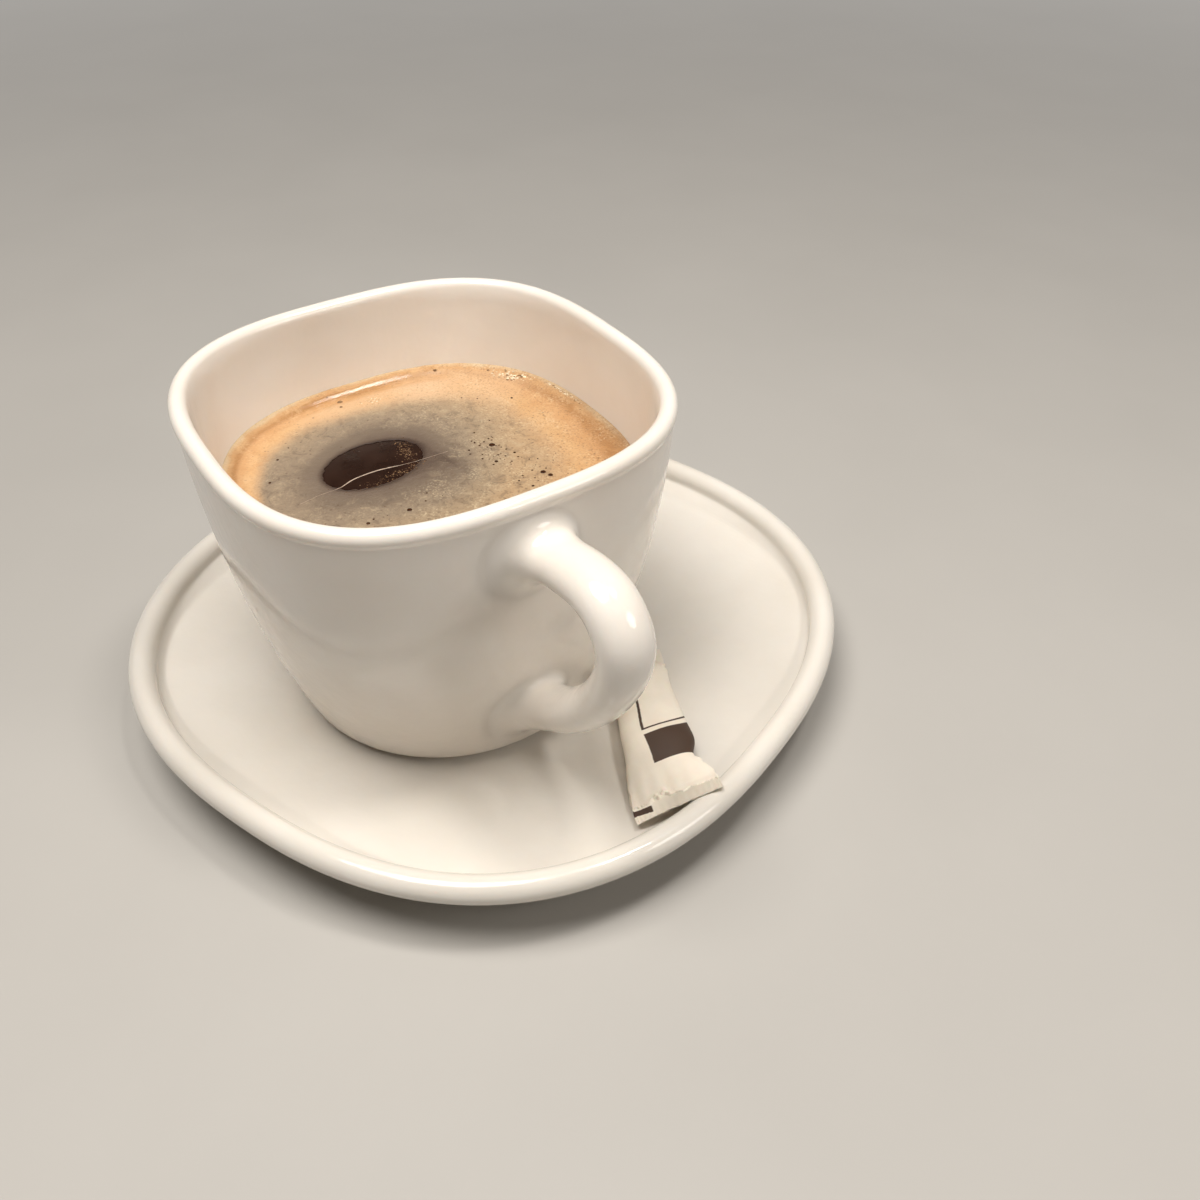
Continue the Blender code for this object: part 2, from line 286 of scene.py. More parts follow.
def fill(node, sockets):
    """Gives each socket of a node its value, or a link when an output is given."""
    for key, value in sockets.items():
        if isinstance(value, bpy.types.NodeSocket):
            node.id_data.links.new(value, node.inputs[key])
        else:
            node.inputs[key].default_value = value


def add(kind, sockets, tree=None, **settings):
    """Adds a node with these settings and fills its sockets. Without a tree, it goes into the
    tree of the first output that it is given."""
    given = (value for value in sockets.values() if isinstance(value, bpy.types.NodeSocket))
    made = (tree or next(given).id_data).nodes.new(kind)
    for key, value in settings.items():
        setattr(made, key, value)
    fill(made, sockets)
    return made


def blend(mask, under, over):
    """Colour `under` where the mask is 0 and `over` where it is 1."""
    return add("ShaderNodeMix", {0: mask, 6: under, 7: over}, data_type="RGBA").outputs[2]


def layered(colour, *layers):
    """A colour under layers, each of them a mask and the screen colour that it brings in."""
    for mask, over in layers:
        colour = blend(mask, colour, srgb(*over))
    return colour


def sums(operation, *values, **settings):
    """One step of arithmetic with two or three values."""
    sockets = dict(enumerate(values))
    return add("ShaderNodeMath", sockets, operation=operation, **settings).outputs[0]


def linear(value, slope, start):
    """value * slope + start"""
    return sums("MULTIPLY_ADD", value, slope, start)


def times(*values):
    """The product of two or more values or masks."""
    result = values[0]
    for value in values[1:]:
        result = sums("MULTIPLY", result, value)
    return result


def ramp(value, low, high):
    """Mask that rises softly from 0 at `low` to 1 at `high`; it falls when `low` is larger."""
    sockets = {"Value": value, "From Min": low, "From Max": high}
    return add("ShaderNodeMapRange", sockets, interpolation_type="SMOOTHSTEP").outputs[0]


def between(value, low, high, edge):
    """Mask that is 1 where low < value < high."""
    return times(ramp(value, low - edge, low + edge), ramp(value, high + edge, high - edge))


def noise(vector, scale, detail, roughness=0.5, distortion=0.0):
    """Noise from 0 to 1, mostly near 0.5, with `scale` blobs to the metre."""
    sockets = {"Vector": vector, "Scale": scale, "Detail": detail, "Roughness": roughness}
    return add("ShaderNodeTexNoise", {**sockets, "Distortion": distortion}).outputs[0]


def cells(vector, scale):
    """Distance to the nearest of many scattered points, `scale` of them to the metre."""
    return add("ShaderNodeTexVoronoi", {"Vector": vector, "Scale": scale}).outputs["Distance"]


def stored(shader, name):
    """The number that `note` stored under this name on each point."""
    return add("ShaderNodeAttribute", {}, shader.id_data, attribute_name=name).outputs["Fac"]


def new_group(name, numbers, result, kind):
    """An empty node group: a Vector and named numbers go in, and one result comes out."""
    group = bpy.data.node_groups.new(name, "ShaderNodeTree")
    group.interface.new_socket(name="Vector", in_out="INPUT", socket_type=VECTOR)
    for label in numbers:
        group.interface.new_socket(name=label, in_out="INPUT", socket_type=FLOAT)
    group.interface.new_socket(name=result, in_out="OUTPUT", socket_type=kind)
    given, out = group.nodes.new("NodeGroupInput"), group.nodes.new("NodeGroupOutput")
    return group, given.outputs, out.inputs[result]


print("a screen's grey 128 is", round(srgb(128, 128, 128)[0], 3), "in linear light")

# %% The two shared effects
cloud_group, given, out = new_group("cloudy_mask", ["Scale", "Low", "High"], "Mask", FLOAT)
broad = noise(given["Vector"], given["Scale"], 5.0)
steps = {"Value": broad, "From Min": given["Low"], "From Max": given["High"]}
rise = add("ShaderNodeMapRange", steps)
cloud_group.links.new(rise.outputs[0], out)

relief_group, given, out = new_group("fine_relief", ["Scale", "Depth"], "Normal", VECTOR)
grain = noise(given["Vector"], given["Scale"], 3.0)
raised = add("ShaderNodeBump", {"Height": grain, "Distance": given["Depth"]})
relief_group.links.new(raised.outputs[0], out)
print("shared effects:", cloud_group.name, "and", relief_group.name)


def cloud(vector, scale, low, high):
    """The cloudy mask in a material, with its own scale and contrast."""
    sockets = {"Vector": vector, "Scale": scale, "Low": low, "High": high}
    return add("ShaderNodeGroup", sockets, node_tree=cloud_group).outputs["Mask"]


def relief(vector, scale, depth):
    """The fine relief in a material, with its own scale and depth."""
    sockets = {"Vector": vector, "Scale": scale, "Depth": depth}
    return add("ShaderNodeGroup", sockets, node_tree=relief_group).outputs["Normal"]


def new_finish(name, constants):
    """A material with its Principled shader and its Object coordinates."""
    made = bpy.data.materials.new(name)
    made.use_nodes = True
    shader = made.node_tree.nodes["Principled BSDF"]
    fill(shader, constants)
    place = add("ShaderNodeTexCoord", {}, made.node_tree).outputs["Object"]
    return made, shader, place


# %% [markdown]
# ## Glazed porcelain
#
# Hotel china is a warm white body under a clear glaze. The glaze is never quite even: it is a
# little greyer where it lies thick, it has a very faint orange-peel relief, and handling
# leaves some patches less glossy. A plain white glossy shader would look like plastic, so all
# three are nodes, while the soft glow of the body is a little subsurface scattering.

# %% Porcelain finish
def porcelain(name, body, pooled):
    """Warm white china: colour from `body` to `pooled`, uneven gloss and faint relief. The
    ring that it stands on is bare biscuit, as it has to be in the kiln."""
    glow = {"Subsurface Weight": 0.12, "Subsurface Scale": 0.002}
    glow["Subsurface Radius"] = (1.0, 0.75, 0.55)
    made, shader, place = new_finish(name, glow)
    smudge = ramp(cloud(place, 95.0, 0.4, 0.72), 0.0, 1.0)
    gloss = linear(smudge, 0.12, 0.08)
    height = add("ShaderNodeSeparateXYZ", {0: place}).outputs["Z"]
    biscuit = ramp(height, 0.45 * MM, 0.15 * MM)
    pooling = cloud(place, 38.0, 0.3, 0.75)
    china = layered(srgb(*body), (pooling, pooled), (biscuit, (206, 192, 172)))
    rough = sums("MAXIMUM", gloss, times(biscuit, 0.75))
    peel = relief(place, 190.0, 0.00011)
    fill(shader, {"Base Color": china, "Roughness": rough, "Normal": peel})
    return made


saucer_glaze = porcelain("saucer_glaze", (232, 227, 219), (222, 216, 206))
cup_glaze = porcelain("cup_glaze", (243, 237, 229), (236, 227, 216))
print("glazes of", len(cup_glaze.node_tree.nodes), "nodes")

# %% [markdown]
# ## The saucer
#
# The saucer has a flat round well for the cup, a gentle slope that ends at a soft crease, and a
# raised bead round its rim with a groove at its foot. A real one is jiggered: a blade with the
# profile's shape scrapes the turning clay. Here too the profile is drawn once, as key rows, and
# every row is a rounded square whose exponent changes on the way out. It could be a subdivided
# box, but the bead would then lose its even width at the corners.

# %% Saucer
# Key rows from the well's middle to the foot ring: half width, outset, power and height.
SAUCER_INSIDE = [
    (0, 0, 2, 4.5), (38.6, 0, 2, 4.5), (41.0, 0, 2.05, 4.85), (49.9, 0, 2.3, 6.7),
    (56.0, 0, 2.65, 8.05), (60.8, 0, 2.9, 9.3), (62.8, 0, 2.66, 10.4), (64.75, 0, 2.42, 11.4),
]
SAUCER_BEAD = rolled((67.4, 12.4), 2.6, 2.39, 172, -60, 30)
SAUCER_BELOW = [
    (64.9, 0, 2.42, 8.5), (59.8, 0, 2.9, 6.3), (49.9, 0, 2.3, 3.5), (41.4, 0, 2, 1.5),
    (40.0, 0, 2, 0), (35.0, 0, 2, 0), (34.0, 0, 2, 1.5), (0, 0, 2, 1.5),
]
# The saucer was set down at an angle to the cup.
SAUCER_TURN = np.radians(20.8)
saucer_keys = np.concatenate([SAUCER_INSIDE, SAUCER_BEAD, SAUCER_BELOW]) * ROW_UNITS
saucer_shell = turned_shell(soft_profile(saucer_keys, 0.42 * MM), SAUCER_TURN)
saucer_piece = solid("china_saucer", [saucer_shell], saucer_glaze)
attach(saucer_piece, "root")
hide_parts("saucer")

# %% [markdown]
# ## The cup
#
# The cup is circular at its foot and a rounded square at its rim. Its outer wall swings out
# early and then stands almost upright, so its half width follows a power curve, and so does
# the hollow. The lip is rolled over a little further than the wall, with a soft undercut.

# %% Cup wall
CUP_PLACE = np.array([0.1, -9.8, 0]) * MM
WELL, RIM = 4.5 * MM, 69.8 * MM
HOLLOW_FLOOR, HOLLOW_DEPTH = 9.3 * MM, 58.84 * MM


def wall_share(height):
    """0 at the saucer's well and 1 at the rim."""
    return np.clip((height - WELL) / (RIM - WELL), 0, 1)


def wall_power(height):
    """The exponent grows evenly from a circle's 2 to 2.8 at the rim."""
    return 2 + 0.8 * wall_share(height)


def wall_half(height):
    """Outer half width: foot + (rim - foot) (1 - (1 - t)^2.25)."""
    return (30.8 + 10.1 * (1 - (1 - wall_share(height)) ** 2.25)) * MM


def hollow_half(height):
    """Half width of the hollow: 28 mm + 10 mm (1 - (1 - t)^1.35)."""
    share = np.clip((height - HOLLOW_FLOOR) / HOLLOW_DEPTH, 0, 1)
    return (28.0 + 10.0 * (1 - (1 - share) ** 1.35)) * MM


def cup_profile():
    """Key rows from the hollow's middle, up the inside, over the lip and down to the foot."""
    up, down = np.linspace(12.5, 67.4, 40) * MM, np.linspace(66.1, 6.2, 44) * MM
    floor = np.multiply([(0, 0, 2, 9.3), (20.0, 0, 2, 9.3), (26.2, 0, 2, 10.1)], ROW_UNITS)
    inside = np.stack([hollow_half(up), 0 * up, wall_power(up), up], -1)
    lip = rolled((39.69, 68.14), 1.66, 2.8, 176, -42, 26) * ROW_UNITS
    outside = np.stack([wall_half(down), 0 * down, wall_power(down), down], -1)
    foot = [(29.2, 0, 2, 5.2), (27.2, 0, 2, 4.8), (23.7, 0, 2, 4.8), (22.7, 0, 2, 6.2)]
    foot = np.multiply([*foot, (0, 0, 2, 6.2)], ROW_UNITS)
    return np.concatenate([floor, inside, lip, outside, foot])


cup_rows = soft_profile(cup_profile(), 0.3 * MM)
wall_shell = turned_shell(cup_rows)
print("cup wall:", len(cup_rows), "rows, and the highest is at", cup_rows[:, 3].max().round(4), "m")

# %% [markdown]
# ## The handle
#
# The handle is an oval bar, wider across than it is thick, pulled out of the upper wall and
# back into the lower one. On real porcelain the slip fills the corner where it joins, so no
# line shows there. A Boolean union would leave such a line. Instead, each line along the bar
# ends in its own little curve: a quadratic Bezier that starts along the bar, aims at the point
# where the bar would meet the wall, and lands flat on the wall.

# %% Handle
HANDLE_ROUTE = [
    (45.6, 59.45), (52.0, 60.8), (58.8, 60.3), (63.1, 55.6), (62.5, 49.0), (59.0, 41.5),
    (53.5, 34.0), (47.4, 27.8), (44.2, 25.3),
]
BAR_THICK, BAR_WIDE = 7.8 * MM, 9.8 * MM


def wall_x(y, z):
    """Where the outer wall stands on the handle's side: x = (a^n - |y|^n)^(1/n)."""
    n = wall_power(z)
    return np.maximum(wall_half(z) ** n - abs(y) ** n, 1e-12) ** (1 / n)


def root(ring, way, spread, steps=20, skin=0.012 * MM, depth=1.2 * MM):
    """Rows that carry a ring of the bar into the wall.
    Each point slides along `way` until it meets the wall, which is found by a few corrections
    of the distance. The landing point lies `spread` further out on the wall and `skin` inside
    it, and the row t is (1 - t)^2 start + 2 t (1 - t) corner + t^2 landing. One more row ends
    `depth` inside the wall, where the bar is closed."""
    far = np.zeros(len(ring))
    for _ in range(12):
        spot = ring + far[:, None] * way
        far += (wall_x(spot[:, 1], spot[:, 2]) - spot[:, 0]) / way[0] * 0.8
    corner = ring + far[:, None] * way
    outwards = unit(corner[:, 1:] - corner[:, 1:].mean(axis=0))
    flat = corner[:, 1:] + outwards * spread[:, None]
    landing = np.column_stack([wall_x(flat[:, 0], flat[:, 1]) - skin, flat])
    t = np.linspace(0, 1, steps)[1:, None, None]
    rows = (1 - t) ** 2 * ring + 2 * t * (1 - t) * corner + t ** 2 * landing
    return np.concatenate([rows, landing[None] - [depth, 0, 0]])


def handle():
    """The bar's grid, roots included: route + thickness/2 cos(a) normal + width/2 sin(a)
    across. The roots spread less on the side where they come close to the lip."""
    route = np.array([(x, 0, z) for x, z in HANDLE_ROUTE]) * MM
    path = spring_path(route, np.linspace(0, 1, 90))
    way = unit(np.gradient(path, axis=0))
    across = np.array([0, 1.0, 0])
    normal = np.cross(way, across)
    facing, lean = np.cos(full_turn(64)), np.sin(full_turn(64))
    thick = BAR_THICK / 2 * facing[None, :, None] * normal[:, None]
    bar = path[:, None] + thick + BAR_WIDE / 2 * lean[None, :, None] * across
    top = root(bar[3], -way[3], (4.6 + 0.5 * facing - 2.7 * lean) * MM)
    bottom = root(bar[-2], way[-2], (4.4 - 0.5 * facing - 1.4 * lean) * MM)
    return np.concatenate([top[::-1], bar[3:-1], bottom])


handle_rings = handle()
cup_piece = solid("china_cup", [wall_shell, capped(handle_rings)], cup_glaze, CUP_PLACE)
rows, columns = handle_rings.shape[:2]
landings = np.array([[1], [rows - 2]]) * columns + np.arange(columns)
keep_sharp(cup_piece, len(wall_shell[0]) + landings.ravel())
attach(cup_piece, "root")
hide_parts("cup")

# %% [markdown]
# ## The coffee
#
# Black coffee is nearly opaque: a very dark red-brown with a mirror-like surface. Most of it
# hides under the crema and inside the cup, and only an oval of it shows in the opening. The
# oval's surface gets a very slight ripple and, along one side, a froth of tiny bubbles.

# %% Coffee
LEVEL = 52.3 * MM
COFFEE_TOP, COFFEE_CEILING, COFFEE_FLOOR = 51.78 * MM, 50.0 * MM, 9.6 * MM
GAP = 0.6 * MM
# The middle of the opening, in the cup's own frame.
OPENING = np.array([-7.0, -18.4]) * MM - CUP_PLACE[:2]
OPENING_LONG, OPENING_SHORT, OPENING_TURN = 10.0 * MM, 7.1 * MM, np.radians(97)


def oval(long_half, short_half, height, sides=256):
    """Ellipse rings round the opening, in the cup's own frame, first point towards +X."""
    turn = full_turn(sides)[None] - OPENING_TURN
    a, b = column(long_half) * np.cos(turn), column(short_half) * np.sin(turn)
    c, s = np.cos(OPENING_TURN), np.sin(OPENING_TURN)
    x, y = OPENING[0] + c * a - s * b, OPENING[1] + s * a + c * b
    return np.stack([x, y, column(height) + 0 * x], -1)


def coffee_grid():
    """Rows from the island's middle over its edge, out under the crema and down the hollow.
    The island is larger than the opening by GAP, and the wall stays away from the china by it."""
    long_half, short_half = OPENING_LONG + GAP, OPENING_SHORT + GAP
    share = np.linspace(0.03, 1, 40)
    island = oval(long_half * share, short_half * share, COFFEE_TOP)
    ripple = waves(island[..., 0], island[..., 1], 5 * MM, 3) * (1 - share[:, None] ** 4)
    island[..., 2] += 0.012 * MM * ripple
    side = oval([long_half] * 2, [short_half] * 2, [51.6 * MM, 50.1 * MM])
    down = np.array([COFFEE_CEILING, *np.linspace(49.6, 12.5, 24) * MM])
    wall = squircles(hollow_half(down) - GAP, wall_power(down), down, sides=256)
    t = np.linspace(0.1, 1, 10)[:, None, None]
    ceiling = (1 - t) * side[-1] + t * wall[:1]
    ceiling[..., 2] = COFFEE_CEILING
    low = [10.4 * MM, COFFEE_FLOOR, COFFEE_FLOOR]
    floor = squircles(np.array([25.4, 19.4, 8.0]) * MM, 2, low, sides=256)
    return np.concatenate([island, side, ceiling, wall[1:], floor])


coffee_finish, shader, place = new_finish(
    "black_coffee", {"Roughness": 0.14, "IOR": 1.34, "Specular IOR Level": 0.3},
)
black = layered(srgb(38, 24, 18), (cloud(place, 210.0, 0.35, 0.7), (47, 31, 24)))
fill(shader, {"Base Color": black, "Normal": relief(place, 900.0, 0.00002)})

rings = coffee_grid()
coffee_shell = shell(rings, rings[0].mean(axis=0), (0, 0, COFFEE_FLOOR))
coffee_piece = solid("coffee_body", [coffee_shell], coffee_finish, CUP_PLACE)
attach(coffee_piece, "root")
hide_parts("coffee")

# %% [markdown]
# ## The crema
#
# Crema is a layer of very fine foam. At the wall it climbs a little and stays tan, because the
# oils gather there; further in it pales to a mottled grey-beige, and round the opening it
# thins until the dark coffee shows through. All this follows distances: to the wall and to
# the opening. So each point of the mesh stores both distances, how wide the golden ring is,
# how wet or thin the foam is there and where a pale highlight is painted on it, and the
# finish reads these numbers.
# A painted picture could do the same, but it would be tied to one size and one view.

# %% Crema surface
UNDER_WALL_EDGE, UNDER_OPENING_EDGE = 50.4 * MM, 51.83 * MM


def crema_distances(x, y):
    """Distance to the wall, a - (|x|^n + |y|^n)^(1/n), and to the opening's edge along the ray
    from its middle, r (1 - 1/e), where e is 1 on that edge. Both are in millimetres."""
    n = wall_power(LEVEL)
    to_wall = hollow_half(LEVEL) - (abs(x) ** n + abs(y) ** n) ** (1 / n)
    dx, dy = x - OPENING[0], y - OPENING[1]
    c, s = np.cos(OPENING_TURN), np.sin(OPENING_TURN)
    e = np.hypot((c * dx + s * dy) / OPENING_LONG, (c * dy - s * dx) / OPENING_SHORT)
    return to_wall / MM, np.hypot(dx, dy) * (1 - 1 / np.maximum(e, 0.3)) / MM


def wet_side(x, y):
    """1 where the foam's edge lies wet against the wall, on the left and at the back."""
    bearing = np.arctan2(y, x)
    return ease(np.cos(bearing - np.radians(177)), 0.8, 0.95)


def crema_height(x, y):
    """Level + an edge that climbs the wall - the thinning round the opening + two sizes of
    gentle waves. The climb is 0.45 exp(-d/0.7); the wet side has a trough 4 mm from the wall
    and a steep rise behind it instead."""
    to_wall, to_opening = crema_distances(x, y)
    calm = ease(to_opening, 0, 3) * ease(to_wall, 2.5, 5)
    rough = 0.03 * waves(x, y, 1.6 * MM, 7) + 0.07 * waves(x, y, 9 * MM, 8)
    rise = 0.58 * (1 + 0.06 * waves(x, y, 1.5 * MM, 9)) * (1 - ease(to_wall, 1.7, 3.2))
    slope = rise - 0.4 * bell(to_wall, 4, 1.6)
    wet = wet_side(x, y)
    climb = 0.45 * (1 - wet) * np.exp(-np.maximum(to_wall, 0) / 0.7) + wet * slope
    return LEVEL + (rough * calm + climb - 0.42 * (1 - ease(to_opening, -0.4, 4.0))) * MM


def crema_grid():
    """Rows outwards over the top, down at the wall, and back under the foam to the opening,
    whose edge is pushed in and out by up to a third of a millimetre."""
    sides, rows = 288, 150
    edge = oval(OPENING_LONG, OPENING_SHORT, LEVEL, sides)[0]
    wall = squircles(hollow_half(LEVEL) - 0.05 * MM, wall_power(LEVEL), LEVEL, sides=sides)[0]
    share = 1 - (1 - np.linspace(0, 1, rows)) ** 1.15
    top = edge + share[:, None, None] * (wall - edge)
    x, y, _ = edge.T
    frayed = 0.18 * MM * waves(x, y, 2.4 * MM, 5) + 0.1 * MM * waves(x, y, 0.9 * MM, 6)
    outwards = unit(edge - edge.mean(axis=0))
    top += (1 - ease(share, 0, 0.12))[:, None, None] * frayed[None, :, None] * outwards
    top[..., 2] = crema_height(top[..., 0], top[..., 1])
    low = np.stack([wall, top[0]])
    low[..., 2] = [[UNDER_WALL_EDGE], [UNDER_OPENING_EDGE]]
    return np.concatenate([top, low])


# %% [markdown]
# The foam's colours go from a brown line at the wall through a golden ring, wider at the back,
# to beige, and then darken towards the opening, where the foam is thinnest. Two colour ramps
# hold these rows of colours: one counts from the wall and one from the opening. Clouds break
# up their borders, and cells and fine noise, like bubbles of many sizes, roughen the surface.
# On the left the edge is wet: there the finish is smoother, and it catches the lamp in a line.

# %% Crema finish
def colour_row(value, stops):
    """A colour ramp with the given (position, colour) stops, blended softly."""
    made = add("ShaderNodeValToRGB", {0: value})
    made.color_ramp.interpolation = "EASE"
    points = made.color_ramp.elements
    for place, _ in stops[1:-1]:
        points.new(place)
    for point, (place, colour) in zip(points, stops):
        point.position, point.color = place, srgb(*colour)
    return made.outputs[0]


ACROSS = (0.557, 0.83, 0.0)
crema_finish, shader, place = new_finish("crema_foam", {"IOR": 1.36})
to_wall, to_opening, ring_width, wet, thin, painted_highlight = (
    stored(shader, name) for name in ("to_wall", "to_opening", "ring_width", "wet", "thin", "painted_highlight")
)
drift = noise(place, 110.0, 5.0, 0.6)
swirl = noise(place, 260.0, 6.0, 0.65, 0.6)
marble = noise(place, 430.0, 6.0, 0.66, 0.7)
fine = noise(place, 2300.0, 3.0, 0.7)
centred = sums("SUBTRACT", drift, 0.5)
across = add("ShaderNodeVectorMath", {0: place, 1: ACROSS}, operation="DOT_PRODUCT")
rightwards = across.outputs["Value"]

share = linear(centred, 0.3, sums("DIVIDE", to_wall, ring_width))
gold = colour_row(share, [
    (0.0, (200, 176, 142)), (0.1, (188, 148, 104)), (0.21, (170, 126, 82)), (0.36, (197, 153, 108)),
    (0.58, (203, 163, 118)), (0.78, (190, 155, 117)), (1.0, (178, 150, 118)),
])
# Painted shade: the ring is darker orange near the wall on the right-hand side of the view, where
# the lip shades the foam.
right_wall_shade = times(ramp(rightwards, 12 * MM, 36 * MM), ramp(share, 0.7, 0.1), 0.75)
gold = layered(
    gold, (right_wall_shade, (144, 100, 60)),
    (times(ramp(swirl, 0.5, 0.68), 0.5), (188, 142, 94)),
    (times(ramp(swirl, 0.48, 0.3), 0.45), (212, 178, 136)),
    # Painted highlight: paler foam on the wet side and near the wall at the back, where the lamp's
    # sheen falls.
    (painted_highlight, (208, 174, 138)),
)

reach = linear(centred, 5.0, sums("SUBTRACT", to_opening, thin))
grey = colour_row(sums("DIVIDE", reach, 20.0), [
    (0.0, (88, 74, 64)), (0.07, (104, 90, 78)), (0.2, (116, 102, 88)), (0.38, (140, 124, 105)),
    (0.62, (158, 138, 113)), (1.0, (178, 150, 117)),
])
thinned = ramp(share, 0.66, 1.06)
marbled = times(thinned, ramp(to_opening, 1.5, 7.0))
here = cloud(place, 170.0, 0.45, 0.62)
specks = times(ramp(cells(place, 800.0), 0.24, 0.1), here, 0.6)
rougher = linear(ramp(rightwards, -30 * MM, 0.0), 0.6, 0.4)
grainy = times(ramp(to_opening, 1.0, 9.0), rougher)
here = cloud(place, 210.0, 0.4, 0.62)
foam = layered(
    blend(thinned, gold, grey),
    (times(ramp(marble, 0.49, 0.36), 0.42, marbled), (92, 78, 66)),
    (times(ramp(marble, 0.53, 0.68), 0.34, marbled), (190, 172, 142)),
    (ramp(to_opening, 1.3, -0.3), (56, 41, 34)),
    (specks, (84, 62, 46)),
    (times(ramp(fine, 0.5, 0.7), here, 0.55, grainy), (220, 204, 172)),
    (times(ramp(fine, 0.48, 0.3), 0.5, grainy), (112, 90, 66)),
)

dry = sums("SUBTRACT", 1.0, wet)
froth = linear(cells(place, 1700.0), 0.5, fine)
height = linear(froth, dry, times(marble, 0.6, wet))
bumps = add("ShaderNodeBump", {"Height": height, "Distance": 0.00009, "Strength": 0.7})
dull = times(ramp(marble, 0.47, 0.6), wet)
rough = linear(dull, 0.1, linear(dry, 0.24, 0.14))
fill(shader, {"Base Color": foam, "Roughness": rough, "Normal": bumps.outputs[0]})
print("foam of", len(crema_finish.node_tree.nodes), "nodes")

# %% Crema
rings = crema_grid()
crema_piece = solid("crema_skin", [shell(rings, looped=True)], crema_finish, CUP_PLACE)
x, y = rings[..., 0], rings[..., 1]
x_mm, y_mm = x / MM, y / MM
wall_mm, opening_mm = crema_distances(x, y)


def towards(degrees, middle=(0, 0)):
    """Cosine of the angle between a bearing and the way from the middle to each point."""
    return np.cos(np.arctan2(y - middle[1], x - middle[0]) - np.radians(degrees))


ring_mm = 14.6 + 3.2 * towards(62) - 6.0 * np.maximum(towards(-85), 0) ** 3
corner = ease(towards(142), 0.86, 0.98) * ease(wall_mm, 1.0, 3.0)
eddy = 3.6 * bell(x_mm, 3, 9) * bell(y_mm, 3, 6)
wisp = ease(x_mm, -5, -1) * (1 - ease(x_mm, 4, 12))
wisp *= 2.6 * bell(y_mm - 0.24 * (x_mm + 2.7), 2.9, 1.1)
thick = ease(towards(-128, OPENING), 0.3, 0.8)
thick *= 1.9 * (1 - ease(opening_mm, 6.0, 12.0))
lip_side = 2.5 * ease(-y_mm, 18, 27) + 2.0 * ease(x_mm, -2, 12) * ease(-y_mm, -14, -2)
for name, values in {
    "to_wall": wall_mm,
    "to_opening": opening_mm,
    "ring_width": ring_mm,
    "wet": wet_side(x, y) * (1 - ease(wall_mm, 3.2, 4.6)),
    # Painted highlight: mask of paler foam on the wet side, a little in from the wall, and by the
    # wall at the back.
    "painted_highlight": 0.55 * wet_side(x, y) * ease(wall_mm, 4.5, 6.5) + 0.5 * corner,
    "thin": eddy + wisp + lip_side - thick,
}.items():
    note(crema_piece, name, values)
    print(f"{name}: {values.min():.1f} to {values.max():.1f}")
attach(crema_piece, "root")
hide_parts("crema")

# %% [markdown]
# ## Bubbles and the film line
#
# A few large bubbles stand in the foam, dark because the coffee shows through them, with many
# small ones around. Each is a low dome. Hundreds of them share one mesh, so a dome has only a
# few faces. A thin line of foam crosses the opening, where two films of bubbles met.

# %% Bubbles
# Each row is x, y and radius in millimetres, seen from above.
BIG_BUBBLES = np.array([
    (0.0, 3.2, 0.55), (13.4, 6.5, 0.48), (15.0, 7.1, 0.42), (4.8, 5.4, 0.26), (5.5, 1.0, 0.3),
    (-1.1, 1.1, 0.22), (-0.7, -1.4, 0.2), (0.7, -1.9, 0.2), (10.2, -27.3, 0.32), (9.6, -26.0, 0.18),
    (-11.2, -37.0, 0.24), (-17.7, -33.0, 0.24), (-31.5, -14.4, 0.5), (-29.0, -15.2, 0.28),
    (-26.0, 17.0, 0.28), (-13.2, 15.3, 0.24), (-31.8, 7.4, 0.34), (16.2, 2.6, 0.26),
    (10.5, -19.5, 0.42), (6.1, 0.1, 0.2), (3.8, 2.4, 0.17), (-2.5, 0.8, 0.2), (-1.8, 2.4, 0.19),
    (1.3, 2.3, 0.17), (1.7, 4.3, 0.18), (2.9, 4.7, 0.2), (13.4, 1.3, 0.18), (11.8, 5.1, 0.19),
    (7.6, -14.6, 0.17), (9.7, -15.9, 0.18), (-20.6, -29.7, 0.16), (-16.8, 9.3, 0.17),
    (-18.9, 6.8, 0.16), (-8.0, 7.2, 0.17), (12.6, 7.6, 0.17), (14.2, 4.2, 0.16),
])


def scattered(seed, count, middle, spread, turn, sizes, tone_and_glint):
    """Seeded bubbles in a soft-edged oval: columns x, y, radius and tone. A tone of 0 is
    dark, as over a hole, 1 is the foam's own tan and 2 is pale: a painted glint, the
    lamp's highlight on wet froth."""
    dice = np.random.default_rng(seed)
    a, b = dice.normal(0, 0.5, (2, count)) * np.reshape(spread, (2, 1))
    c, s = np.cos(np.radians(turn)), np.sin(np.radians(turn))
    radius = sizes[0] + (sizes[1] - sizes[0]) * dice.random(count) ** 2.2
    x, y = middle[0] + c * a - s * b, middle[1] + s * a + c * b
    return np.column_stack([x, y, radius, dice.choice(tone_and_glint, count)])


